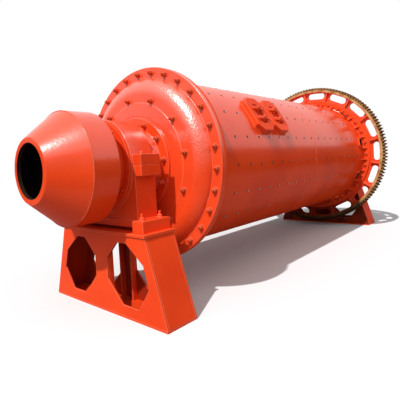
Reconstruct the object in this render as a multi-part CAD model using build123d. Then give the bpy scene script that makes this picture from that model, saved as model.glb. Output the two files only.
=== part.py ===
"""Ball mill: a drum on two trunnion bearings, with a feeder at one end and a girth gear at the other.

Millimetres. The pieces are modelled about the drum's axis: x runs along the axis from the feed end to
the gear end, with zero at the joint of the feed head and the shell, and z is measured from the axis.
place() then moves each piece so that the origin is on the floor under the middle of the mill.
Angles round the drum are in degrees, start at the -Y side and rise towards the top.
"""

import os
from math import acos, cos, pi, radians, sin, sqrt, tan

from build123d import *

# Drum shell
shell_outer_radius = 1020.0
shell_thickness = 20.0
shell_length = 4846.0
feed_course_length = 2552.0
flange_width = 119.0
shell_flange_thickness = 40.0
edge_break = 4.0

# Heads, from the flange inwards
head_flange_thickness = 45.0
head_wall = 60.0
flange_face_width = 125.0
dome_width = 184.0
dome_height = 121.0
flat_ring_width = 105.0
boss_width = 179.0
boss_rise = 8.0
boss_bevel = 4.0
spigot_wall = 40.0

# Trunnions
trunnion_flange_width = 114.0
trunnion_flange_thickness = 30.0
trunnion_wall = 100.0
neck_taper = 32.0
neck_length = 60.0
discharge_tail = 169.0

# Bearings
feed_bearing_gap = 97.0
discharge_bearing_gap = 60.0
bearing_width = 300.0
bush_clearance = 0.3
bush_wall = 39.7
bearing_wall = 62.0
seal_overlap = 44.0
seal_thickness = 15.0
seal_clearance = 2.0
ear_reach = 115.0
ear_up = 106.0
ear_down = 112.0
ear_inset = 20.0
housing_side = 18.0
housing_inset = 17.0
housing_floor = 43.0
foot_width = 157.0
foot_height = 117.0
foot_overlap = 8.0
foot_extra = 33.0
foot_offset = 18.0
beam_gap = 38.0
beam_inset = 5.0

# Pedestals
pedestal_offset = 40.0
pedestal_end_margin = 17.0
pedestal_top_margin = 53.0
pedestal_spread = 250.0
pedestal_plate = 20.0
top_plate_thickness = 30.0
top_plate_overhang = 14.0
hole_top_margin = 76.0
hole_bottom_margin = 110.0
hole_side_margin = 120.0
hole_middle_half = 105.0
hole_top_cut_share = 0.36
hole_bottom_cut_share = 0.32
rib_depth = 62.0

# Feeder
feeder_gap = 181.0
feeder_barrel_rise = 174.0
feeder_barrel_length = 283.0
feeder_cone_length = 322.0
feeder_wall = 30.0
mouth_bore_radius = 261.0
mouth_rim = 54.0
mouth_lip = 40.0

# Girth gear
gear_module = 20.0
gear_reach = 261.0
gear_face_width = 200.0
gear_rim_depth = 49.0
gear_web = 45.0
gear_bore_clearance = 2.0
floor_clearance = 110.0
pressure_angle = 20.0
slot_count = 17
slot_width = 126.0
slot_rim_margin = 14.0
spoke_width = 108.0
spoke_rib_thickness = 28.0
spoke_rib_inset = 20.0
spoke_rib_start = 26.0

# Gussets behind the gear's shell flange
gusset_count = 30
gusset_start_angle = 3.7
gusset_length = 96.0
gusset_height = 88.0
gusset_toe = 12.0
gusset_thickness = 16.0

# Manholes
manhole_angle = 31.0
manhole_first = 1099.0
manhole_gap = 37.0
manhole_length = 505.0
manhole_width = 370.0
manhole_corner_cut = 90.0
manhole_rim_end = 100.0
manhole_rim_side = 105.0
manhole_pad_margin = 14.0
manhole_pad_thickness = 10.0
manhole_stand = 54.0
door_clearance = 2.0
door_recess = 26.0
door_reach = 16.0
yoke_seat = 36.0
yoke_width = 46.0
yoke_thickness = 24.0
yoke_spread = 76.0
yoke_stud_radius = 15.0

# Discharge ports
port_count = 10
port_start_angle = 9.7
port_gap = 18.0
port_band_margin = 40.0
port_length = 168.0
port_width = 120.0
collar_wall = 18.0
collar_height = 36.0

# Radii
shell_inner_radius = shell_outer_radius - shell_thickness
flange_radius = shell_outer_radius + flange_width
dome_base_radius = flange_radius - flange_face_width
dome_flat_radius = dome_base_radius - dome_width
boss_radius = dome_flat_radius - flat_ring_width
trunnion_flange_radius = boss_radius - boss_width
neck_radius = trunnion_flange_radius - trunnion_flange_width
journal_radius = neck_radius - neck_taper
trunnion_bore_radius = journal_radius - trunnion_wall
spigot_radius = trunnion_bore_radius + spigot_wall
bush_inner_radius = journal_radius + bush_clearance
bush_outer_radius = bush_inner_radius + bush_wall
bearing_radius = bush_outer_radius + bearing_wall
feeder_barrel_radius = journal_radius + feeder_barrel_rise
mouth_outer_radius = mouth_bore_radius + mouth_rim

# Girth gear sizes: the number of teeth is the even number that gives the wanted reach
gear_teeth = 2 * round((flange_radius + gear_reach) / gear_module)
gear_pitch_radius = gear_module * gear_teeth / 2
gear_tip_radius = gear_pitch_radius + gear_module
gear_root_radius = gear_pitch_radius - 1.25 * gear_module
gear_rim_inner = gear_root_radius - gear_rim_depth
slot_centre_radius = gear_rim_inner - slot_rim_margin - slot_width / 2
slot_length = 2 * pi * slot_centre_radius / slot_count - spoke_width

# Heights
axis_height = gear_tip_radius + floor_clearance
bearing_height = bearing_radius + housing_floor + foot_height
pedestal_height = axis_height - bearing_height

# Stations along the axis
gear_web_end = shell_length + gear_web
gear_flange_x = shell_length - shell_flange_thickness
head_crown = head_flange_thickness + dome_height
trunnion_seat = head_crown + boss_rise
trunnion_front = trunnion_seat + trunnion_flange_thickness
bearing_reach = trunnion_front + neck_length + seal_thickness + bearing_width / 2
feed_bearing_x = -bearing_reach - feed_bearing_gap
discharge_bearing_x = gear_web_end + bearing_reach + discharge_bearing_gap
feeder_rear = feed_bearing_x - bearing_width / 2 - seal_thickness - feeder_gap
feeder_seam = feeder_rear - feeder_barrel_length
mouth_x = feeder_seam - feeder_cone_length
tail_x = discharge_bearing_x + bearing_width / 2 + discharge_tail
middle_x = (mouth_x + tail_x) / 2

parts = {}


def place(name, piece):
    """Moves a piece from the drum's axis into the part's own frame and keeps it under its node's name."""
    parts[name] = Pos(-middle_x, 0, axis_height) * piece


def rod(x_from, x_to, radius):
    """A round bar along the drum's axis."""
    return Pos((x_from + x_to) / 2, 0, 0) * Rot(0, 90, 0) * Cylinder(radius, abs(x_to - x_from))


def ring(x_from, x_to, inner, outer):
    """A round tube along the drum's axis."""
    return rod(x_from, x_to, outer) - rod(x_from, x_to, inner)


def box(x_from, x_to, y_from, y_to, z_from, z_to):
    """A block between two corners."""
    middle = Pos((x_from + x_to) / 2, (y_from + y_to) / 2, (z_from + z_to) / 2)
    return middle * Box(abs(x_to - x_from), abs(y_to - y_from), abs(z_to - z_from))


def turned(outline):
    """Turns a closed outline, drawn with x along the axis and y as the radius, about the axis."""
    return revolve(make_face(Plane.XZ * outline), axis=Axis.X)


def flange(x_from, x_to, inner, outer):
    """A flat ring on the drum's axis with its outer edges broken."""
    return turned(Polyline(
        (x_from, inner), (x_from, outer - edge_break), (x_from + edge_break, outer),
        (x_to - edge_break, outer), (x_to, outer - edge_break), (x_to, inner),
        close=True,
    ))


def mirrored_end(piece):
    """A piece of the feed end, turned round for the gear end."""
    return mirror(piece, about=Plane.YZ.offset(gear_web_end / 2))


def round_drum(piece, count, start_angle):
    """Copies of a piece that is drawn at the -Y side, evenly spaced round the drum."""
    return [Rot(-(start_angle + 360 / count * i), 0, 0) * piece for i in range(count)]


def stadium(length, width):
    """A flat shape with round ends, its long way round the drum."""
    return SlotOverall(length, width, rotation=90)


def cut_plate(length, width):
    """A flat shape with cut corners, its long way round the drum."""
    blank = Rectangle(width, length)
    return chamfer(blank.vertices(), manhole_corner_cut)


def radial_prism(x, angle, outline, low, high):
    """An outline raised outwards from one distance from the axis to another."""
    outward = (0, -cos(radians(angle)), sin(radians(angle)))
    plane = Plane(origin=(x, 0, 0), x_dir=(1, 0, 0), z_dir=outward)
    return extrude(plane.offset(low) * outline, high - low)


# Shell: two courses, with the manholes in the first, and a band of plates that meet at the ports' middles
manhole_positions = (manhole_first, manhole_first + manhole_width + manhole_gap)
manhole_opening = stadium(manhole_length - 2 * manhole_rim_end, manhole_width - 2 * manhole_rim_side)
port_x = gear_flange_x - gusset_length - port_gap - collar_wall - port_width / 2
port_band_x = port_x - port_width / 2 - collar_wall - port_band_margin
port_opening = stadium(port_length, port_width)
collar_blank = stadium(port_length + 2 * collar_wall, port_width + 2 * collar_wall)
frame_top = shell_outer_radius + manhole_stand
collar_top = shell_outer_radius + collar_height
cut_start = shell_inner_radius / 2
manhole_cuts = [
    radial_prism(x, manhole_angle, manhole_opening, cut_start, frame_top) for x in manhole_positions
]
feed_course = ring(0, feed_course_length, shell_inner_radius, shell_outer_radius)
for cut in manhole_cuts:
    feed_course -= cut
place("shell_feed_course", feed_course)
place("shell_discharge_course",
      ring(feed_course_length, port_band_x, shell_inner_radius, shell_outer_radius))
port_plate_outline = Polyline(
    (port_band_x, shell_inner_radius), (port_band_x, shell_outer_radius),
    (shell_length, shell_outer_radius), (shell_length, shell_inner_radius),
    close=True,
)
port_plate_arc = 180 / port_count
port_plate = revolve(make_face(Plane.XZ * port_plate_outline), axis=Axis.X, revolution_arc=port_plate_arc)
port_plate = Rot(90 - port_plate_arc, 0, 0) * port_plate
port_plate -= radial_prism(port_x, 0, collar_blank, cut_start, collar_top)
port_plates = round_drum(port_plate, port_count, port_start_angle)
port_plates += round_drum(mirror(port_plate, about=Plane.XY), port_count, port_start_angle)
place("shell_port_band", Compound(children=port_plates))
place("shell_feed_flange", flange(0, shell_flange_thickness, shell_outer_radius, flange_radius))
place("shell_gear_flange", flange(gear_flange_x, shell_length, shell_outer_radius, flange_radius))

# Gussets: plates that taper from the flange to the shell
gusset_outline = Polyline(
    (gear_flange_x, shell_inner_radius),
    (gear_flange_x, shell_outer_radius + gusset_height),
    (gear_flange_x - gusset_length, shell_outer_radius + gusset_toe),
    (gear_flange_x - gusset_length, shell_inner_radius),
    close=True,
)
gusset = extrude(make_face(Plane.XZ * gusset_outline), gusset_thickness / 2, both=True)
gusset -= rod(gear_flange_x - 2 * gusset_length, gear_flange_x + gusset_length, shell_outer_radius)
gussets = round_drum(Rot(90, 0, 0) * gusset, gusset_count, gusset_start_angle)
place("gear_flange_gussets", Compound(children=gussets))

# Discharge ports: an oval collar that goes through the shell round each opening
collar = radial_prism(port_x, 0, collar_blank - port_opening, cut_start, collar_top)
collar -= rod(port_x - port_length, port_x + port_length, shell_inner_radius)
place("port_collars", Compound(children=round_drum(collar, port_count, port_start_angle)))

# Manholes: a curved pad, a flat-topped frame on it, and a door held by two yokes
pad_radius = shell_outer_radius + manhole_pad_thickness
pad_outline = cut_plate(manhole_length + 2 * manhole_pad_margin, manhole_width + 2 * manhole_pad_margin)
pad_ends = (manhole_positions[0] - manhole_width, manhole_positions[1] + manhole_width)
blanks = [radial_prism(x, manhole_angle, pad_outline, cut_start, frame_top) for x in manhole_positions]
pad = ring(*pad_ends, shell_outer_radius, pad_radius) & (blanks[0] + blanks[1])
for cut in manhole_cuts:
    pad -= cut
place("manhole_pad", pad)
door_top = frame_top - door_recess
door_bottom = shell_inner_radius - door_reach
door_outline = stadium(manhole_length - 2 * (manhole_rim_end + door_clearance),
                       manhole_width - 2 * (manhole_rim_side + door_clearance))
yoke_outline = SlotOverall(manhole_width - 2 * manhole_rim_side + 2 * yoke_seat, yoke_width)
for number, x in enumerate(manhole_positions, start=1):
    frame = radial_prism(x, manhole_angle, cut_plate(manhole_length, manhole_width), cut_start, frame_top)
    frame -= rod(x - manhole_length, x + manhole_length, pad_radius)
    outward = Axis((0, 0, 0), (0, -cos(radians(manhole_angle)), sin(radians(manhole_angle))))
    frame = chamfer(frame.faces().sort_by(outward)[-1].edges(), edge_break)
    frame -= manhole_cuts[number - 1]
    place(f"manhole_frame_{number}", frame)
    door = radial_prism(x, manhole_angle, door_outline, door_bottom, door_top)
    yokes = []
    for side in (-1, 1):
        spot = Pos(0, side * yoke_spread)
        door += radial_prism(x, manhole_angle, spot * Circle(yoke_stud_radius), door_top, frame_top)
        yokes.append(radial_prism(x, manhole_angle, spot * yoke_outline,
                                  frame_top, frame_top + yoke_thickness))
    place(f"manhole_door_{number}", door)
    place(f"manhole_yokes_{number}", Compound(children=yokes))


# Heads: a domed casting with a bolting flange, a flat bolt ring and a raised boss, drawn for the feed end
def head():
    knuckle = (dome_width ** 2 + dome_height ** 2) / (2 * dome_height)
    centre = head_crown - knuckle
    inner_knuckle = knuckle - head_wall
    lip = dome_flat_radius + sqrt(inner_knuckle ** 2 - centre ** 2)
    inner_face = head_crown - head_wall

    def on_knuckle(radius, angle):
        return (-centre - radius * cos(angle), dome_flat_radius + radius * sin(angle))

    outer_end = acos((head_flange_thickness - centre) / knuckle)
    inner_end = acos(-centre / inner_knuckle)
    outline = Polyline(
        (0, lip), (0, flange_radius - edge_break), (-edge_break, flange_radius),
        (-head_flange_thickness + edge_break, flange_radius),
        (-head_flange_thickness, flange_radius - edge_break), (-head_flange_thickness, dome_base_radius),
    )
    outline += ThreePointArc((-head_flange_thickness, dome_base_radius), on_knuckle(knuckle, outer_end / 2),
                             (-head_crown, dome_flat_radius))
    outline += Polyline(
        (-head_crown, dome_flat_radius), (-head_crown, boss_radius),
        (-head_crown - boss_bevel, boss_radius - boss_bevel), (-trunnion_seat, trunnion_flange_radius),
        (-trunnion_seat, spigot_radius), (-inner_face, spigot_radius), (-inner_face, dome_flat_radius),
    )
    outline += ThreePointArc((-inner_face, dome_flat_radius), on_knuckle(inner_knuckle, inner_end / 2),
                             (0, lip))
    return turned(outline)


# Trunnions: a bolting flange, a spigot in the head's bore, and the hollow journal, drawn for the feed end
def trunnion(end):
    spigot_end = head_crown - head_wall
    return turned(Polyline(
        (-spigot_end, trunnion_bore_radius), (-spigot_end, spigot_radius), (-trunnion_seat, spigot_radius),
        (-trunnion_seat, trunnion_flange_radius), (-trunnion_front + edge_break, trunnion_flange_radius),
        (-trunnion_front, trunnion_flange_radius - edge_break), (-trunnion_front, neck_radius),
        (-trunnion_front - neck_length, journal_radius), (end, journal_radius), (end, trunnion_bore_radius),
        close=True,
    ))


place("feed_head", head())
place("feed_trunnion", trunnion(feeder_rear))
place("discharge_head", mirrored_end(head()))
place("discharge_trunnion", mirrored_end(trunnion(gear_web_end - tail_x)))

# Feeder: a cone with a lipped mouth, a barrel, and a back plate on the trunnion's end
barrel_inner = feeder_barrel_radius - feeder_wall
cone_slope = (feeder_barrel_radius - mouth_outer_radius) / feeder_cone_length
place("feeder_cone", turned(Polyline(
    (mouth_x, mouth_bore_radius),
    (mouth_x, mouth_outer_radius - edge_break),
    (mouth_x + edge_break, mouth_outer_radius + cone_slope * edge_break),
    (feeder_seam, feeder_barrel_radius),
    (feeder_seam, barrel_inner),
    (mouth_x + mouth_lip, mouth_outer_radius + cone_slope * mouth_lip - feeder_wall),
    (mouth_x + mouth_lip, mouth_bore_radius),
    close=True,
)))
place("feeder_barrel", ring(feeder_seam, feeder_rear, barrel_inner, feeder_barrel_radius))
place("feeder_back_plate", ring(feeder_rear - feeder_wall, feeder_rear, trunnion_bore_radius, barrel_inner))


# Girth gear: toothed rim, slotted web and radial ribs in one casting
def involute(angle):
    return tan(angle) - angle


def tooth_half_angle(radius):
    """Half of a tooth's thickness at a radius, as an angle at the gear's centre."""
    base_radius = gear_pitch_radius * cos(radians(pressure_angle))
    at_pitch = pi / (2 * gear_teeth) + involute(radians(pressure_angle))
    return at_pitch - involute(acos(base_radius / radius))


def gear_point(radius, angle):
    return (radius * cos(angle), radius * sin(angle))


tooth_edges = []
for tooth in range(gear_teeth):
    middle = 2 * pi * tooth / gear_teeth
    radii = (gear_root_radius, gear_pitch_radius, gear_tip_radius)
    rising = [gear_point(radius, middle - tooth_half_angle(radius)) for radius in radii]
    falling = [gear_point(radius, middle + tooth_half_angle(radius)) for radius in reversed(radii)]
    next_root = gear_point(gear_root_radius,
                           middle + 2 * pi / gear_teeth - tooth_half_angle(gear_root_radius))
    tooth_edges += [ThreePointArc(*rising), Line(rising[-1], falling[0]),
                    ThreePointArc(*falling), Line(falling[-1], next_root)]
rim_face = make_face(tooth_edges) - Circle(gear_rim_inner)
gear_middle = shell_length + gear_web / 2
rim = extrude(Plane.YZ.offset(gear_middle - gear_face_width / 2) * rim_face, gear_face_width)
web = ring(shell_length, gear_web_end, shell_inner_radius + gear_bore_clearance, gear_rim_inner)
slot = Pos(gear_middle, -slot_centre_radius, 0) * extrude(
    Plane.YZ * stadium(slot_length, slot_width), gear_web, both=True)
for cut in round_drum(slot, slot_count, 0):
    web -= cut
gear = rim + web
rib_depth_out = (gear_face_width - gear_web) / 2 - spoke_rib_inset
rib_reach = gear_rim_inner + gear_rim_depth / 2
for face, way in ((shell_length, -1), (gear_web_end, 1)):
    rib = box(face, face + way * rib_depth_out, -rib_reach, -flange_radius - spoke_rib_start,
              -spoke_rib_thickness / 2, spoke_rib_thickness / 2)
    for copy in round_drum(rib, slot_count, 180 / slot_count):
        gear += copy
place("girth_gear", gear)


# Bearings: a lower housing on two feet, a cap with a bolting ear each side, a bush and two seal rings
def bearing(x):
    half = bearing_width / 2
    bore = rod(x - bearing_width, x + bearing_width, bush_outer_radius)
    barrel = flange(x - half, x + half, bush_outer_radius / 2, bearing_radius)
    seat = -bearing_height
    foot_top = seat + foot_height
    side_wall = bearing_radius + housing_side
    foot_inner = side_wall - foot_overlap
    ear_outer = bearing_radius + ear_reach
    foot_x = x - foot_offset
    below = box(x - bearing_width, x + bearing_width, -2 * ear_outer, 2 * ear_outer, -2 * bearing_height, 0)
    housing = barrel & below
    housing += box(x - half + housing_inset, x + half - housing_inset, -side_wall, side_wall, foot_top, 0)
    housing += box(x - half + beam_inset, x + half - beam_inset,
                   -foot_inner, foot_inner, seat + beam_gap, foot_top)
    cap = barrel - below
    for side in (-1, 1):
        ears = [box(x - half + ear_inset, x + half - ear_inset,
                    side * bush_outer_radius, side * ear_outer, 0, reach) for reach in (-ear_down, ear_up)]
        housing += chamfer(ears[0].edges(), edge_break)
        cap += chamfer(ears[1].edges(), edge_break)
        foot = box(foot_x - half - foot_extra, foot_x + half + foot_extra,
                   side * foot_inner, side * (foot_inner + foot_width), seat, foot_top)
        housing += chamfer(foot.faces().sort_by(Axis.Z)[-1].edges(), edge_break)
    bush = ring(x - half, x + half, bush_inner_radius, bush_outer_radius)
    seals = []
    for face, way in ((x - half, -1), (x + half, 1)):
        start, end = sorted((face, face + way * seal_thickness))
        seals.append(flange(start, end, journal_radius + seal_clearance, bush_outer_radius + seal_overlap))
    return {
        "housing": housing - bore,
        "cap": cap - bore,
        "bush": bush,
        "seals": Compound(children=seals),
    }


# Pedestals: sloping side plates, end plates with two openings each and ribs between the openings,
# and top and base plates
def pedestal(x):
    bottom = -axis_height
    top = -bearing_height
    plate_low = bottom + pedestal_plate
    plate_high = top - top_plate_thickness
    foot_outer = bearing_radius + housing_side - foot_overlap + foot_width
    top_half = foot_outer + pedestal_top_margin
    slope = pedestal_spread / (plate_high - bottom)

    def half_width(z):
        return top_half + slope * (plate_high - z)

    def hole_side(z):
        return half_width(z) - hole_side_margin

    hole_top = plate_high - hole_top_margin
    hole_bottom = plate_low + hole_bottom_margin
    top_cut = hole_top_cut_share * (hole_side(hole_top) - hole_middle_half)
    bottom_cut = hole_bottom_cut_share * (hole_side(hole_bottom) - hole_middle_half)
    upper = hole_top - top_cut
    lower = hole_bottom + bottom_cut
    hole = make_face(Polyline(
        (hole_middle_half, upper), (hole_middle_half + top_cut, hole_top),
        (hole_side(hole_top) - top_cut, hole_top), (hole_side(upper), upper),
        (hole_side(lower), lower), (hole_side(hole_bottom) - bottom_cut, hole_bottom),
        (hole_middle_half + bottom_cut, hole_bottom), (hole_middle_half, lower),
        close=True,
    ))
    end_face = make_face(Polyline(
        (-half_width(plate_low), plate_low), (half_width(plate_low), plate_low),
        (half_width(plate_high), plate_high), (-half_width(plate_high), plate_high),
        close=True,
    ))
    end_face = end_face - hole - mirror(hole, about=Plane.YZ)
    half_length = bearing_width / 2 + foot_extra + pedestal_end_margin
    front_x = x - half_length
    back_x = x + half_length
    side_face = make_face(Polyline(
        (half_width(plate_low), plate_low), (half_width(plate_high), plate_high),
        (half_width(plate_high) - pedestal_plate, plate_high),
        (half_width(plate_low) - pedestal_plate, plate_low),
        close=True,
    ))
    inner_length = back_x - front_x - 2 * pedestal_plate
    side = extrude(Plane.YZ.offset(front_x + pedestal_plate) * side_face, inner_length)
    ribs = []
    for start, way in ((front_x + pedestal_plate, 1), (back_x - pedestal_plate, -1)):
        for hand in (-1, 1):
            ribs.append(box(start, start + way * rib_depth, hand * (hole_middle_half - pedestal_plate),
                            hand * hole_middle_half, plate_low, plate_high))
    cover = top_half + top_plate_overhang
    base = half_width(plate_low)
    return {
        "front_plate": extrude(Plane.YZ.offset(front_x) * end_face, pedestal_plate),
        "back_plate": extrude(Plane.YZ.offset(back_x - pedestal_plate) * end_face, pedestal_plate),
        "side_plates": Compound(children=[side, mirror(side, about=Plane.XZ)]),
        "ribs": Compound(children=ribs),
        "top_plate": box(front_x - top_plate_overhang, back_x + top_plate_overhang,
                         -cover, cover, plate_high, top),
        "base_plate": box(front_x, back_x, -base, base, bottom, plate_low),
    }


for end, bearing_x in (("feed", feed_bearing_x), ("discharge", discharge_bearing_x)):
    for name, piece in bearing(bearing_x).items():
        place(f"{end}_bearing_{name}", piece)
    for name, piece in pedestal(bearing_x - pedestal_offset).items():
        place(f"{end}_pedestal_{name}", piece)

os.makedirs("parts", exist_ok=True)
for name, piece in parts.items():
    export_step(piece, f"parts/{name}.step")
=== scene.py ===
from math import cos, pi, radians, sin

import bpy
from mathutils import Matrix, Vector


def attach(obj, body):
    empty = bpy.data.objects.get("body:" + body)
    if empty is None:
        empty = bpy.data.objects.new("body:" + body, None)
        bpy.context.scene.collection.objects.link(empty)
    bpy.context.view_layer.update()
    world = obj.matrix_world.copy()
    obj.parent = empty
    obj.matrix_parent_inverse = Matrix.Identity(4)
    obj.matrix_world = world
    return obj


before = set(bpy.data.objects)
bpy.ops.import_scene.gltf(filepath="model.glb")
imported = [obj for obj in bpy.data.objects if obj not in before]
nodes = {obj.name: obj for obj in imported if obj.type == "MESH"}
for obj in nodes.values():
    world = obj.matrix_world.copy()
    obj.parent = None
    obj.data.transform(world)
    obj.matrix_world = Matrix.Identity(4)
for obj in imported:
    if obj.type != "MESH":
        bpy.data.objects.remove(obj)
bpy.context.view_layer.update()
scene = bpy.context.scene
scene.view_settings.view_transform = "Standard"

# Sizes of the CAD part that the fittings and the paint follow. Lengths are in metres.
# Angles are in degrees round the axis, with 0 towards -Y and 90 at the top.
AXIS = 1.530
SHELL_RADIUS = 1.020
SHELL_PLATE = 0.020
SHELL_SEAM = 0.441
FEED_FLANGE_FACE = -2.156
FEED_FLANGE_BACK = -2.071
FEED_HEAD_FLAT = -2.277
FEED_TRUNNION_FACE = -2.315
GEAR_FLANGE_FACE = 2.695
DISCHARGE_FLANGE_FACE = 2.825
DISCHARGE_HEAD_FLAT = 2.946
DISCHARGE_TRUNNION_FACE = 2.984
TRUNNION_LINING = 0.330
PORTS = 10
PORT_X = 2.503
PORT_ANGLE = 9.7
MANHOLE_X = (-1.012, -0.605)
MANHOLE_ANGLE = 31.0
MANHOLE_HALF_LENGTH = 0.267
MANHOLE_HALF_WIDTH = 0.199
YOKE_TOP = 1.098
YOKE_SPREAD = 0.076
FEEDER_RADIUS = 0.574
FEEDER_SKIN = 0.014
FEEDER_SEAM = -3.266
FEEDER_PLATE = -2.998
MOUTH_X = -3.588
MOUTH_RADIUS = 0.315
MOUTH_BORE = 0.261
PEDESTALS = {"feed": -2.677, "discharge": 3.229}
BEARINGS = {"feed": -2.637, "discharge": 3.269}
BEARING_HALF = 0.150
SEAL = 0.015
FOOT_TOP = 0.985
FOOT_MIDDLE = 0.5905
FOOT_OFFSET = 0.018
FOOT_END = 0.183
EAR_TOP = 1.636
EAR_BOLT = 0.585

# Where the fittings go
FLANGE_BOLTS = 30
FLANGE_BOLT_RADIUS = 1.074
FEED_FLANGE_START = 7.6
GEAR_FLANGE_START = 9.7
HEAD_BOLTS = 12
HEAD_BOLT_RADIUS = 0.766
HEAD_START = 7.6
TRUNNION_BOLTS = 12
TRUNNION_BOLT_RADIUS = 0.483
TRUNNION_START = 5.0
LINER_ROWS = 20
LINER_COLUMNS = 17
LINER_START = -3.8
LINER_X = -1.685
LINER_SPACING = 0.2535
LINER_HOLE = 0.014
LINER_HOLE_HEIGHT = 0.0015
LINER_HOLE_STRETCH = 1.35
LINER_END = 0.007
LINER_END_HEIGHT = 0.003
LINER_END_OFFSET = 0.009
MANHOLE_CLEARANCE = 0.02
FLANGE_WELD_OFFSET = 0.004
FOOT_STUD_SPREAD = 0.120
EAR_BOLT_SPREAD = 0.085
JACK_DROP = 0.045
SEAL_SCREWS = 4
SEAL_SCREW_RADIUS = 0.430
SEAL_SCREW_START = 55
SUNK = 0.002
TWIST = 2.4
SHARP_ANGLE = 35

# Paint, dirt, painted shade and highlight, and metal
PAINT = (0.80, 0.062, 0.011)
PAINT_DEEP = (0.72, 0.050, 0.009)
# The next colour is pale paint along the edges: partly wear, partly a painted highlight.
PAINT_EDGE_WEAR_AND_HIGHLIGHT = (1.00, 0.34, 0.20)
# The next colour darkens the pedestals' inner faces: painted shade.
PEDESTAL_INSIDE_SHADE = (0.30, 0.022, 0.006)
# The next colour is near black on inner faces: painted shade, partly a worn lining.
INSIDE = (0.030, 0.016, 0.012)
# The next colour is a near-black brown for grease and for painted shade.
GREASE_AND_SHADE = (0.020, 0.009, 0.005)
GEAR_STEEL = (0.56, 0.31, 0.13)
GEAR_RUST = (0.30, 0.13, 0.05)
TOOTH_ROOT_DIRT = (0.06, 0.03, 0.015)
TOOTH_DIRT = (0.12, 0.06, 0.03)
BRONZE = (0.62, 0.42, 0.20)
STEEL = (0.78, 0.74, 0.68)
# The next colour is painted shade for the liner bolt holes.
HOLE_SHADE = (0.030, 0.022, 0.018)
PAINT_ROUGHNESS = 0.45
INSIDE_ROUGHNESS = 0.85
MATTE_SHINE = 0.08
COAT_IOR = 1.8
COAT_ROUGHNESS = 0.22
SHELL_COAT = 0.82
FEEDER_COAT = 1.0
HEAD_COAT = 1.0
HEAD_COAT_ROUGHNESS = 0.26
EDGE_ROUNDING = 0.009
GRAIN_SCALE = 38.0
GRAIN_DEPTH = 0.0008
GEAR_GRAIN_DEPTH = 0.001
CAST_DEPTH = 0.0038

# Floor and light
FLOOR_REACH = 60
FLOOR_LIGHTING = (0.30, 0.27, 0.23)
FLOOR_SEEN = (0.80, 0.80, 0.80)
BOARD_FOOT = ((25, -4.4), (-1.5, -4.4), (-7.5, 0.8), (-9.0, 9.0), (25, 9.0))
BOARD_HEIGHT = 2.7
BOARD_COLOUR = (0.05, 0.05, 0.05)
SKY_FRONT = (-0.68, -0.73)
SKY_BRIGHT = (1.25, 1.25, 1.25)
SKY_DIM = (0.22, 0.22, 0.23)
SKY_LOW = (0.16, 0.16, 0.16)
SKY_SEEN = (1.0, 1.0, 1.0)
SUN_FROM = (-0.66, -0.08, 0.747)
SUN_STRENGTH = 3.5
SUN_ANGLE = 1.2


def placed(name, data):
    made = bpy.data.objects.new(name, data)
    scene.collection.objects.link(made)
    return made


# Meshes: the fittings of one kind are gathered into one piece
class Gather:
    def __init__(self):
        self.points = []
        self.faces = []

    def add(self, solid, matrix):
        points, faces = solid
        start = len(self.points)
        self.points += [matrix @ Vector(p) for p in points]
        self.faces += [[start + i for i in face] for face in faces]

    def piece(self, name, body, material):
        mesh = bpy.data.meshes.new(name)
        mesh.from_pydata(self.points, [], self.faces)
        mesh.materials.append(material)
        for polygon in mesh.polygons:
            polygon.use_smooth = True
        mesh.set_sharp_from_angle(angle=radians(SHARP_ANGLE))
        made = placed(name, mesh)
        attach(made, body)


def spun(profile, sides):
    """A closed solid of so many sides round local z.

    The profile's (radius, height) points rise from its foot.
    """
    points = []
    for radius, height in profile:
        for i in range(sides):
            angle = 2 * pi * i / sides
            points.append((radius * cos(angle), radius * sin(angle), height))
    faces = []
    for level in range(len(profile) - 1):
        for i in range(sides):
            j = (i + 1) % sides
            low, high = level * sides, (level + 1) * sides
            faces.append((low + i, low + j, high + j, high + i))
    faces.append(tuple(reversed(range(sides))))
    last = (len(profile) - 1) * sides
    faces.append(tuple(range(last, last + sides)))
    return points, faces


def merged(*solids):
    points, faces = [], []
    for more_points, more_faces in solids:
        start = len(points)
        points += more_points
        faces += [tuple(start + i for i in face) for face in more_faces]
    return points, faces


def disc(radius, height, sides):
    """A flat round fitting, whose foot is sunk into the face below."""
    return spun([(radius, -SUNK), (radius, height)], sides)


def hexagon(across_flats, foot, height):
    """A six-sided nut or head with a chamfered top."""
    radius = across_flats / 3 ** 0.5
    crown = 0.87 * radius
    chamfer = 0.1 * across_flats
    top = foot + height
    return spun([(radius, foot), (radius, top - chamfer), (crown, top)], 6)


def stud_and_nut(across_flats, stud_over):
    """A washer, a nut and the end of the stud that comes out of it."""
    washer = 0.09 * across_flats
    nut = 0.55 * across_flats
    stud = 0.31 * across_flats
    chamfer = 0.003
    hidden = 0.004
    top = washer + nut + stud_over
    return merged(
        disc(0.62 * across_flats, washer, 16),
        hexagon(across_flats, washer, nut),
        spun([(stud, washer + nut - hidden), (stud, top - chamfer), (stud - chamfer, top)], 12),
    )


def bolt_head(across_flats):
    washer = 0.08 * across_flats
    return merged(
        disc(0.60 * across_flats, washer, 16),
        hexagon(across_flats, washer, 0.42 * across_flats),
    )


def facing(outward):
    return Vector(outward).to_track_quat("Z", "Y").to_matrix().to_4x4()


def out(angle):
    return (0, -cos(radians(angle)), sin(radians(angle)))


def round_axis(x, radius, angle):
    _, y, z = out(angle)
    return Matrix.Translation((x, radius * y, AXIS + radius * z))


def twist(number):
    """Each nut is left at a turn of its own."""
    return Matrix.Rotation(TWIST * number, 4, "Z")


def end_ring(gather, solid, x, radius, count, start, way):
    """A ring of fittings on a face that looks along the axis."""
    for i in range(count):
        spot = round_axis(x, radius, start + 360 / count * i)
        gather.add(solid, spot @ facing((way, 0, 0)) @ twist(i))


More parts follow.
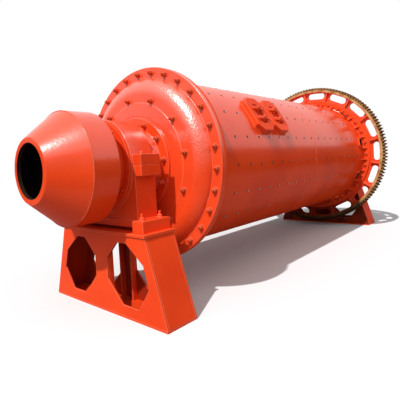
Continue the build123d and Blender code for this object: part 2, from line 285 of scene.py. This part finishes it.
def bead(gather, x, radius, width, height, ripple):
    """A weld bead round the drum: a low rounded ring with a slight ripple."""
    around, across = 180, 5
    fine, coarse = 37, 11
    points = []
    for i in range(around):
        angle = 360 * i / around
        swell = 1 + ripple * sin(fine * radians(angle)) * sin(coarse * radians(angle) + 1)
        for k in range(across):
            turn = pi * k / (across - 1)
            rise = height * swell * sin(turn)
            spot = round_axis(x - width / 2 * cos(turn), radius - SUNK + rise, angle)
            points.append(spot.to_translation())
    faces = []
    for i in range(around):
        j = (i + 1) % around
        for k in range(across):
            n = (k + 1) % across
            faces.append((i * across + k, i * across + n, j * across + n, j * across + k))
    gather.add((points, faces), Matrix.Identity(4))


# Nodes of the materials
def node(tree, kind, **settings):
    made = tree.nodes.new(kind)
    for key, value in settings.items():
        setattr(made, key, value)
    return made


def step(tree, value, low, high):
    """Rises from 0 to 1 as a value goes from low to high."""
    made = node(tree, "ShaderNodeMapRange", interpolation_type="SMOOTHSTEP")
    made.inputs["From Min"].default_value = low
    made.inputs["From Max"].default_value = high
    tree.links.new(value, made.inputs["Value"])
    return made.outputs["Result"]


def maths(tree, operation, *values):
    made = node(tree, "ShaderNodeMath", operation=operation)
    for socket, value in zip(made.inputs, values):
        if isinstance(value, float):
            socket.default_value = value
        else:
            tree.links.new(value, socket)
    return made.outputs[0]


def mix(tree, share, first, second):
    made = node(tree, "ShaderNodeMix", data_type="RGBA")
    tree.links.new(share, made.inputs["Factor"])
    for socket, value in ((made.inputs["A"], first), (made.inputs["B"], second)):
        if isinstance(value, tuple):
            socket.default_value = (*value, 1)
        else:
            tree.links.new(value, socket)
    return made.outputs["Result"]


def noise(tree, scale, detail):
    made = node(tree, "ShaderNodeTexNoise")
    made.inputs["Scale"].default_value = scale
    made.inputs["Detail"].default_value = detail
    place = node(tree, "ShaderNodeTexCoord")
    tree.links.new(place.outputs["Object"], made.inputs["Vector"])
    return made.outputs["Fac"]


def own_place(tree):
    """A point's place in the model's own coordinates, as X, Y and Z."""
    place = node(tree, "ShaderNodeTexCoord")
    split = node(tree, "ShaderNodeSeparateXYZ")
    tree.links.new(place.outputs["Object"], split.inputs[0])
    return split.outputs


def own_normal(tree, kind="True Normal"):
    """The way a face looks in the model's own coordinates, as X, Y and Z."""
    face = node(tree, "ShaderNodeNewGeometry")
    turned = node(tree, "ShaderNodeVectorTransform", vector_type="NORMAL",
                  convert_from="WORLD", convert_to="OBJECT")
    tree.links.new(face.outputs[kind], turned.inputs[0])
    split = node(tree, "ShaderNodeSeparateXYZ")
    tree.links.new(turned.outputs[0], split.inputs[0])
    return split.outputs


def axis_radius(tree):
    """Distance from the drum's axis, in the model's own coordinates."""
    place = own_place(tree)
    flat = node(tree, "ShaderNodeCombineXYZ")
    tree.links.new(place["Y"], flat.inputs["Y"])
    tree.links.new(maths(tree, "SUBTRACT", place["Z"], AXIS), flat.inputs["Z"])
    length = node(tree, "ShaderNodeVectorMath", operation="LENGTH")
    tree.links.new(flat.outputs[0], length.inputs[0])
    return length.outputs["Value"]


def ring_mask(tree, radius, start, full, last, end):
    """1 between two distances from the axis, with soft ends."""
    return maths(tree, "MULTIPLY", step(tree, radius, start, full), step(tree, radius, end, last))


def bevelled(tree):
    rounded = node(tree, "ShaderNodeBevel", samples=6)
    rounded.inputs["Radius"].default_value = EDGE_ROUNDING
    return rounded.outputs[0]


def bumped(tree, shader, height, distance):
    """Surface grain, over edges that are slightly rounded."""
    made = node(tree, "ShaderNodeBump")
    made.inputs["Distance"].default_value = distance
    tree.links.new(height, made.inputs["Height"])
    tree.links.new(bevelled(tree), made.inputs["Normal"])
    tree.links.new(made.outputs[0], shader.inputs["Normal"])
    tree.links.new(made.outputs[0], shader.inputs["Coat Normal"])


def paint_grain(tree, shader):
    bumped(tree, shader, noise(tree, GRAIN_SCALE, detail=2.0), GRAIN_DEPTH)


# Materials
def new_material(name):
    made = bpy.data.materials.new(name)
    made.use_nodes = True
    tree = made.node_tree
    return made, tree, tree.nodes["Principled BSDF"]


def paint_colour(tree):
    """Paint that varies a little over the surface, and is pale along the edges: partly worn thin, partly
    a painted highlight for the light that rounded edges catch.
    """
    patches = step(tree, noise(tree, scale=1.7, detail=4.0), low=0.35, high=0.70)
    face = node(tree, "ShaderNodeNewGeometry")
    along = node(tree, "ShaderNodeVectorMath", operation="DOT_PRODUCT")
    tree.links.new(face.outputs["True Normal"], along.inputs[0])
    tree.links.new(bevelled(tree), along.inputs[1])
    edge = step(tree, along.outputs["Value"], low=0.98, high=0.86)
    wear_and_highlight = maths(tree, "MULTIPLY", edge, 0.6)
    return mix(tree, wear_and_highlight, mix(tree, patches, PAINT, PAINT_DEEP), PAINT_EDGE_WEAR_AND_HIGHLIGHT)


def matte(name, share_of=None, other=None):
    """Paint with hardly any gloss, and another colour where share_of(tree) gives 1."""
    material, tree, shader = new_material(name)
    shader.inputs["Roughness"].default_value = PAINT_ROUGHNESS
    shader.inputs["Specular IOR Level"].default_value = MATTE_SHINE
    colour = paint_colour(tree)
    if share_of:
        colour = mix(tree, share_of(tree), colour, other)
    tree.links.new(colour, shader.inputs["Base Color"])
    paint_grain(tree, shader)
    return material


def clean(tree):
    """1 where the gloss is clean, and less where dirt dulls it: low on the mill and on undersides."""
    high = step(tree, own_place(tree)["Z"], low=0.30, high=1.10)
    over = step(tree, own_normal(tree, "Normal")["Z"], low=-0.10, high=0.08)
    return maths(tree, "MULTIPLY", high, maths(tree, "MULTIPLY_ADD", over, 0.86, 0.14))


def gloss(tree, shader, coat, bare=None):
    """A clear coat, which is missing where bare is 1."""
    shader.inputs["Roughness"].default_value = PAINT_ROUGHNESS
    shader.inputs["Specular IOR Level"].default_value = 0.0
    shader.inputs["Coat IOR"].default_value = COAT_IOR
    shader.inputs["Coat Roughness"].default_value = COAT_ROUGHNESS
    share = maths(tree, "MULTIPLY", clean(tree), coat)
    if bare:
        share = maths(tree, "MULTIPLY", share, maths(tree, "SUBTRACT", 1.0, bare))
    tree.links.new(share, shader.inputs["Coat Weight"])


def glossy(name, coat):
    material, tree, shader = new_material(name)
    gloss(tree, shader, coat)
    tree.links.new(paint_colour(tree), shader.inputs["Base Color"])
    paint_grain(tree, shader)
    return material


def lined_and_shaded(name, coat, inside):
    """Gloss paint outside, and near black inside: painted shade, partly a worn lining. inside(tree)
    gives 1 on the dark inside.
    """
    material, tree, shader = new_material(name)
    share = inside(tree)
    gloss(tree, shader, coat, share)
    tree.links.new(mix(tree, share, paint_colour(tree), INSIDE), shader.inputs["Base Color"])
    rougher = INSIDE_ROUGHNESS - PAINT_ROUGHNESS
    roughness = maths(tree, "MULTIPLY_ADD", share, rougher, PAINT_ROUGHNESS)
    tree.links.new(roughness, shader.inputs["Roughness"])
    paint_grain(tree, shader)
    return material


def within(limit):
    """A dark inside, partly a lining and partly painted shade, that starts below a distance from the
    axis.
    """
    return lambda tree: step(tree, axis_radius(tree), limit + 0.003, limit - 0.003)


def cone_inside(tree):
    """The inside of the feeder's cone and the bore of its mouth."""
    x = own_place(tree)["X"]
    radius = axis_radius(tree)
    slope = (FEEDER_RADIUS - MOUTH_RADIUS) / (FEEDER_SEAM - MOUTH_X)
    from_mouth = maths(tree, "SUBTRACT", x, MOUTH_X)
    skin = maths(tree, "MULTIPLY_ADD", from_mouth, slope, MOUTH_RADIUS)
    depth = maths(tree, "SUBTRACT", skin, radius)
    wall = step(tree, depth, FEEDER_SKIN, FEEDER_SKIN + 0.004)
    wall = maths(tree, "MULTIPLY", wall, step(tree, x, MOUTH_X + 0.002, MOUTH_X + 0.006))
    bore = step(tree, radius, MOUTH_BORE + 0.005, MOUTH_BORE + 0.002)
    return maths(tree, "MAXIMUM", wall, bore)


def plate_inside(tree):
    """The side of the feeder's back plate that looks into the feeder."""
    return step(tree, own_place(tree)["X"], FEEDER_PLATE + 0.002, FEEDER_PLATE - 0.002)


def port_inside(tree):
    """The walls of a port's collar that look towards its middle."""
    place, looks = own_place(tree), own_normal(tree)
    up = maths(tree, "SUBTRACT", place["Z"], AXIS)
    turn = maths(tree, "ARCTAN2", up, maths(tree, "MULTIPLY", place["Y"], -1.0))
    spacing = radians(360 / PORTS)
    beside = maths(tree, "SUBTRACT", turn, radians(PORT_ANGLE) - spacing / 2)
    beside = maths(tree, "FLOORED_MODULO", beside, spacing)
    beside = maths(tree, "SUBTRACT", beside, spacing / 2)
    round_way = maths(tree, "ADD", maths(tree, "MULTIPLY", looks["Y"], maths(tree, "SINE", turn)),
                      maths(tree, "MULTIPLY", looks["Z"], maths(tree, "COSINE", turn)))
    along = maths(tree, "MULTIPLY", maths(tree, "SUBTRACT", place["X"], PORT_X), looks["X"])
    across = maths(tree, "MULTIPLY", maths(tree, "MULTIPLY", beside, SHELL_RADIUS), round_way)
    return step(tree, maths(tree, "ADD", along, across), low=-0.010, high=-0.020)


def pedestal_inside(middle):
    """The faces of a pedestal's plates that look towards its middle.

    The edges of its openings aren't among them.
    """
    def inside(tree):
        place, looks = own_place(tree), own_normal(tree)

        def flat(way):
            return maths(tree, "GREATER_THAN", maths(tree, "ABSOLUTE", looks[way]), 0.9)

        along = maths(tree, "MULTIPLY", maths(tree, "SUBTRACT", place["X"], middle), looks["X"])
        across = maths(tree, "MULTIPLY", place["Y"], looks["Y"])
        under = maths(tree, "MULTIPLY", maths(tree, "MINIMUM", looks["Z"], 0.0), 0.5)
        walls = maths(tree, "ADD", maths(tree, "MULTIPLY", along, flat("X")),
                      maths(tree, "MULTIPLY", across, flat("Y")))
        return step(tree, maths(tree, "ADD", walls, under), low=-0.05, high=-0.08)
    return inside


def shade_under_drum(tree):
    """Painted shade under the drum: the plate darkened 65 to 90 per cent towards near black, in patches.
    """
    patches = step(tree, noise(tree, scale=4.0, detail=4.0), low=0.3, high=0.7)
    return maths(tree, "MULTIPLY_ADD", patches, 0.25, 0.65)


def nut_shade(tree):
    """Nuts and studs darkened 16 to 36 per cent in patches: painted shade."""
    patches = step(tree, noise(tree, scale=30.0, detail=2.0), low=0.3, high=0.7)
    return maths(tree, "MULTIPLY_ADD", patches, 0.20, 0.16)


def cast_paint(name):
    """Paint over a rough casting on the dome and the boss, and over machined metal on the bolt rings."""
    material, tree, shader = new_material(name)
    radius = axis_radius(tree)
    dome = ring_mask(tree, radius, start=0.835, full=0.870, last=1.000, end=1.020)
    boss = ring_mask(tree, radius, start=0.560, full=0.580, last=0.705, end=0.718)
    rough = maths(tree, "MAXIMUM", dome, maths(tree, "MULTIPLY", boss, 0.4))
    gloss(tree, shader, HEAD_COAT)
    shader.inputs["Coat Roughness"].default_value = HEAD_COAT_ROUGHNESS
    shine = maths(tree, "MULTIPLY_ADD", dome, 0.45, 0.35)
    tree.links.new(maths(tree, "MULTIPLY", clean(tree), shine), shader.inputs["Specular IOR Level"])
    tree.links.new(paint_colour(tree), shader.inputs["Base Color"])
    coarse, fine = noise(tree, scale=20.0, detail=2.0), noise(tree, scale=52.0, detail=2.0)
    skin = maths(tree, "MULTIPLY_ADD", coarse, 0.6, fine)
    skin = maths(tree, "MULTIPLY", skin, maths(tree, "ADD", rough, 0.06))
    bumped(tree, shader, skin, CAST_DEPTH)
    return material


def gear_finish(name):
    """Bare cut teeth and rim, browned by the weather, and paint on the web and its ribs.

    Low down, the web and the rim darken towards near black: painted shade under the drum, with grease on
    the rim.
    """
    material, tree, shader = new_material(name)
    radius = axis_radius(tree)
    rim = step(tree, radius, low=1.329, high=1.333)
    rust = step(tree, noise(tree, scale=9.0, detail=5.0), low=0.40, high=0.68)
    steel = mix(tree, rust, GEAR_STEEL, GEAR_RUST)
    roots = ring_mask(tree, radius, start=1.3742, full=1.3746, last=1.374, end=1.392)
    steel = mix(tree, roots, steel, TOOTH_ROOT_DIRT)
    teeth = maths(tree, "MULTIPLY", step(tree, radius, low=1.376, high=1.384), 0.6)
    steel = mix(tree, teeth, steel, TOOTH_DIRT)
    # Darker low down: painted shade, with grease on the rim.
    low_down = step(tree, own_place(tree)["Z"], low=0.74, high=0.40)
    shade_and_grease = maths(tree, "MULTIPLY", low_down, maths(tree, "MULTIPLY_ADD", rim, 0.25, 0.60))
    colour = mix(tree, rim, paint_colour(tree), steel)
    tree.links.new(mix(tree, shade_and_grease, colour, GREASE_AND_SHADE), shader.inputs["Base Color"])
    gloss(tree, shader, SHELL_COAT, rim)
    roughness = maths(tree, "MULTIPLY_ADD", rim, 0.1, PAINT_ROUGHNESS)
    tree.links.new(roughness, shader.inputs["Roughness"])
    bumped(tree, shader, noise(tree, GRAIN_SCALE, detail=3.0), GEAR_GRAIN_DEPTH)
    return material


def metal(name, colour, roughness):
    material, tree, shader = new_material(name)
    darker = tuple(0.7 * c for c in colour)
    patches = step(tree, noise(tree, scale=14.0, detail=4.0), low=0.35, high=0.7)
    tree.links.new(mix(tree, patches, colour, darker), shader.inputs["Base Color"])
    shader.inputs["Metallic"].default_value = 1.0
    shader.inputs["Roughness"].default_value = roughness
    return material


matte_paint = matte("matte_paint")
# The nuts and studs are painted darker in patches: painted shade.
nut_paint = matte("nut_paint", nut_shade, GREASE_AND_SHADE)
drum_paint = glossy("drum_paint", SHELL_COAT)
# The inner faces of the shell and the trunnion bore are near black: painted shade, partly a lining.
shell_paint = lined_and_shaded("shell_paint", SHELL_COAT, within(SHELL_RADIUS - SHELL_PLATE / 2))
trunnion_paint = lined_and_shaded("trunnion_paint", FEEDER_COAT, within(TRUNNION_LINING))
head_paint = cast_paint("head_paint")
cap_paint = glossy("cap_paint", FEEDER_COAT)
bearing_bronze = metal("bearing_bronze", BRONZE, roughness=0.35)
bolt_steel = metal("bolt_steel", STEEL, roughness=0.45)
painted_hole_shade = metal("painted_hole_shade", HOLE_SHADE, roughness=0.70)
barrel_inside = within(FEEDER_RADIUS - FEEDER_SKIN)
finish_of = {
    "girth_gear": gear_finish("gear_finish"),
    # The insides of the feeder's cone, barrel and back plate are near black: painted shade.
    "feeder_cone": lined_and_shaded("feeder_cone_paint", FEEDER_COAT, cone_inside),
    "feeder_barrel": lined_and_shaded("feeder_barrel_paint", FEEDER_COAT, barrel_inside),
    "feeder_back_plate": lined_and_shaded("feeder_plate_paint", FEEDER_COAT, plate_inside),
    "shell_feed_course": shell_paint,
    "shell_discharge_course": shell_paint,
    "shell_port_band": shell_paint,
    # The walls inside the port collars are near black: painted shade.
    "port_collars": matte("port_paint", port_inside, INSIDE),
}
for end, x in PEDESTALS.items():
    # The inner faces of each pedestal's plates get a darker colour: painted shade inside the pedestal.
    pedestal_paint = matte(f"{end}_pedestal_paint", pedestal_inside(x), PEDESTAL_INSIDE_SHADE)
    for plate in ("front_plate", "back_plate", "side_plates", "top_plate"):
        finish_of[f"{end}_pedestal_{plate}"] = pedestal_paint
    finish_of[f"{end}_head"] = head_paint
    finish_of[f"{end}_trunnion"] = trunnion_paint
    finish_of[f"{end}_bearing_bush"] = bearing_bronze
    finish_of[f"{end}_bearing_cap"] = cap_paint
# The discharge pedestal's front plate is darkened nearly all over: painted shade under the drum.
finish_of["discharge_pedestal_front_plate"] = matte("shaded_plate_paint", shade_under_drum, GREASE_AND_SHADE)
for name, part in nodes.items():
    part.data.materials.clear()
    part.data.materials.append(finish_of.get(name, matte_paint))

# Bolts on the drum. A ring is a fitting, its face, radius, count, first angle and the way it looks.
flange_nut = stud_and_nut(across_flats=0.052, stud_over=0.022)
flange_head = bolt_head(across_flats=0.052)
feed_flange = (FLANGE_BOLT_RADIUS, FLANGE_BOLTS, FEED_FLANGE_START)
gear_flange = (FLANGE_BOLT_RADIUS, FLANGE_BOLTS, GEAR_FLANGE_START)
on_head = (HEAD_BOLT_RADIUS, HEAD_BOLTS, HEAD_START)
on_trunnion = (TRUNNION_BOLT_RADIUS, TRUNNION_BOLTS, TRUNNION_START)
bolt_rings = {
    "feed_flange_bolts": [
        (flange_nut, FEED_FLANGE_FACE, *feed_flange, -1),
        (flange_head, FEED_FLANGE_BACK, *feed_flange, 1),
    ],
    "feed_head_bolts": [(flange_nut, FEED_HEAD_FLAT, *on_head, -1)],
    "feed_trunnion_bolts": [(flange_nut, FEED_TRUNNION_FACE, *on_trunnion, -1)],
    "gear_flange_bolts": [
        (flange_head, GEAR_FLANGE_FACE, *gear_flange, -1),
        (flange_nut, DISCHARGE_FLANGE_FACE, *gear_flange, 1),
    ],
    "discharge_head_bolts": [(flange_nut, DISCHARGE_HEAD_FLAT, *on_head, 1)],
    "discharge_trunnion_bolts": [(flange_nut, DISCHARGE_TRUNNION_FACE, *on_trunnion, 1)],
}
for name, rings in bolt_rings.items():
    bolts = Gather()
    for ring in rings:
        end_ring(bolts, *ring)
    bolts.piece(name, "drum", nut_paint)


# Liner bolts, manhole nuts and welds on the drum
def under_manhole(x, angle):
    """Whether a liner bolt would come through a manhole's pad."""
    turn = (angle - MANHOLE_ANGLE + 180) % 360 - 180
    beside = abs(radians(turn) * SHELL_RADIUS) < MANHOLE_HALF_LENGTH + MANHOLE_CLEARANCE
    reach = MANHOLE_HALF_WIDTH + MANHOLE_CLEARANCE
    return beside and any(abs(x - middle) < reach for middle in MANHOLE_X)


# Each liner bolt hole is a flat near-black disc on the shell: painted shade where a recess would be,
# with no hole cut.
liner_hole = disc(LINER_HOLE, LINER_HOLE_HEIGHT, 14)
liner_end = disc(LINER_END, LINER_END_HEIGHT, 10)
slotted = Matrix.Diagonal((LINER_HOLE_STRETCH, 1, 1, 1))
liner_holes = Gather()
liner_ends = Gather()
for row in range(LINER_ROWS):
    angle = LINER_START + 360 / LINER_ROWS * row
    outward = facing(out(angle))
    for column in range(LINER_COLUMNS):
        x = LINER_X + LINER_SPACING * column
        if not under_manhole(x, angle):
            liner_holes.add(liner_hole, round_axis(x, SHELL_RADIUS, angle) @ slotted @ outward)
            spot = round_axis(x + LINER_END_OFFSET, SHELL_RADIUS, angle)
            liner_ends.add(liner_end, spot @ outward)
liner_holes.piece("liner_bolt_holes", "drum", painted_hole_shade)
liner_ends.piece("liner_bolts", "drum", bolt_steel)

yoke_nut = stud_and_nut(across_flats=0.036, stud_over=0.016)
yoke_nuts = Gather()
for x in MANHOLE_X:
    for side in (-1, 1):
        spot = round_axis(x, YOKE_TOP, MANHOLE_ANGLE)
        along = Matrix.Translation(side * YOKE_SPREAD * Vector(out(MANHOLE_ANGLE + 90)))
        yoke_nuts.add(yoke_nut, along @ spot @ facing(out(MANHOLE_ANGLE)))
yoke_nuts.piece("manhole_nuts", "drum", nut_paint)

welds = Gather()
bead(welds, SHELL_SEAM, SHELL_RADIUS, width=0.026, height=0.006, ripple=0.25)
for x in (FEED_FLANGE_BACK + FLANGE_WELD_OFFSET, GEAR_FLANGE_FACE - FLANGE_WELD_OFFSET):
    bead(welds, x, SHELL_RADIUS, width=0.028, height=0.012, ripple=0.15)
bead(welds, FEEDER_SEAM, FEEDER_RADIUS, width=0.014, height=0.004, ripple=0.20)
welds.piece("drum_welds", "drum", drum_paint)

# Bolts on the bearings
foot_stud = stud_and_nut(across_flats=0.046, stud_over=0.036)
ear_nut = stud_and_nut(across_flats=0.036, stud_over=0.005)
jack_bolt = stud_and_nut(across_flats=0.046, stud_over=0.030)
seal_screw = bolt_head(across_flats=0.020)
for end, x in BEARINGS.items():
    foot_x = x - FOOT_OFFSET
    fittings = Gather()
    for side in (-1, 1):
        foot_y = side * FOOT_MIDDLE
        for along in (-1, 1):
            spot = Matrix.Translation((foot_x + FOOT_STUD_SPREAD * along, foot_y, FOOT_TOP))
            fittings.add(foot_stud, spot @ twist(along))
            spot = Matrix.Translation((x + EAR_BOLT_SPREAD * along, side * EAR_BOLT, EAR_TOP))
            fittings.add(ear_nut, spot @ twist(along + side))
        spot = Matrix.Translation((foot_x + FOOT_END, foot_y, FOOT_TOP - JACK_DROP))
        fittings.add(jack_bolt, spot @ facing((1, 0, 0)))
    for way in (-1, 1):
        face = x + way * (BEARING_HALF + SEAL)
        end_ring(fittings, seal_screw, face, SEAL_SCREW_RADIUS, SEAL_SCREWS, SEAL_SCREW_START, way)
    fittings.piece(f"{end}_bearing_bolts", "stand", matte_paint)


# Floor, light and camera
def seen_rays(tree):
    """1 for rays that show a surface to the camera, straight or by reflection.

    It is 0 for those that only light.
    """
    paths = node(tree, "ShaderNodeLightPath").outputs
    mirrored = maths(tree, "MAXIMUM", paths["Is Glossy Ray"], paths["Is Transmission Ray"])
    return maths(tree, "MAXIMUM", paths["Is Camera Ray"], mirrored)


floor_mesh = bpy.data.meshes.new("floor")
floor_corners = [(x * FLOOR_REACH, y * FLOOR_REACH, 0) for x, y in ((-1, -1), (1, -1), (1, 1), (-1, 1))]
floor_mesh.from_pydata(floor_corners, [], [(0, 1, 2, 3)])
floor = placed("floor", floor_mesh)
floor_material, tree, shader = new_material("floor")
floor_colour = mix(tree, seen_rays(tree), FLOOR_LIGHTING, FLOOR_SEEN)
tree.links.new(floor_colour, shader.inputs["Base Color"])
shader.inputs["Roughness"].default_value = 0.9
shader.inputs["Specular IOR Level"].default_value = 0.1
floor_mesh.materials.append(floor_material)

# A dark board round the mill, for reflections only: the gloss low on the drum shows it
board_mesh = bpy.data.meshes.new("board")
turns = len(BOARD_FOOT)
board_corners = [(x, y, z) for z in (0, BOARD_HEIGHT) for x, y in BOARD_FOOT]
board_sides = [(i, (i + 1) % turns, turns + (i + 1) % turns, turns + i) for i in range(turns)]
board_mesh.from_pydata(board_corners, [], board_sides)
board = placed("board", board_mesh)
board_material, _, shader = new_material("board")
shader.inputs["Base Color"].default_value = (*BOARD_COLOUR, 1)
board_mesh.materials.append(board_material)
board.visible_camera = False
board.visible_diffuse = False
board.visible_shadow = False

# The sky is brightest in front of the mill and high up, and the camera sees it white
world = bpy.data.worlds.new("studio")
scene.world = world
world.use_nodes = True
sky = world.node_tree
way = node(sky, "ShaderNodeTexCoord")
ways = node(sky, "ShaderNodeSeparateXYZ")
sky.links.new(way.outputs["Generated"], ways.inputs[0])
front = maths(sky, "ADD", maths(sky, "MULTIPLY", ways.outputs["X"], SKY_FRONT[0]),
              maths(sky, "MULTIPLY", ways.outputs["Y"], SKY_FRONT[1]))
daylight = mix(sky, step(sky, front, low=-0.1, high=0.8), SKY_DIM, SKY_BRIGHT)
daylight = mix(sky, step(sky, ways.outputs["Z"], low=0.0, high=0.45), SKY_LOW, daylight)
background = sky.nodes["Background"]
sky.links.new(mix(sky, seen_rays(sky), daylight, SKY_SEEN), background.inputs["Color"])

sun = bpy.data.lights.new("key", "SUN")
sun.energy = SUN_STRENGTH
sun.angle = radians(SUN_ANGLE)
placed("key", sun).matrix_world = facing(SUN_FROM)

camera = bpy.data.cameras.new("camera")
camera.sensor_width = 36.0
camera.lens = 32.99
camera.shift_x = 0.0484
camera.shift_y = -0.0658
camera.clip_end = 200.0
camera_object = placed("camera", camera)
camera_object.matrix_world = Matrix((
    (0.6793331, 0.06211641, -0.73119634, -5.1052),
    (-0.73130958, -0.02520716, -0.6815797, -3.3129),
    (-0.06076867, 0.99775055, 0.02830227, 1.5196),
    (0, 0, 0, 1),
))
scene.camera = camera_object
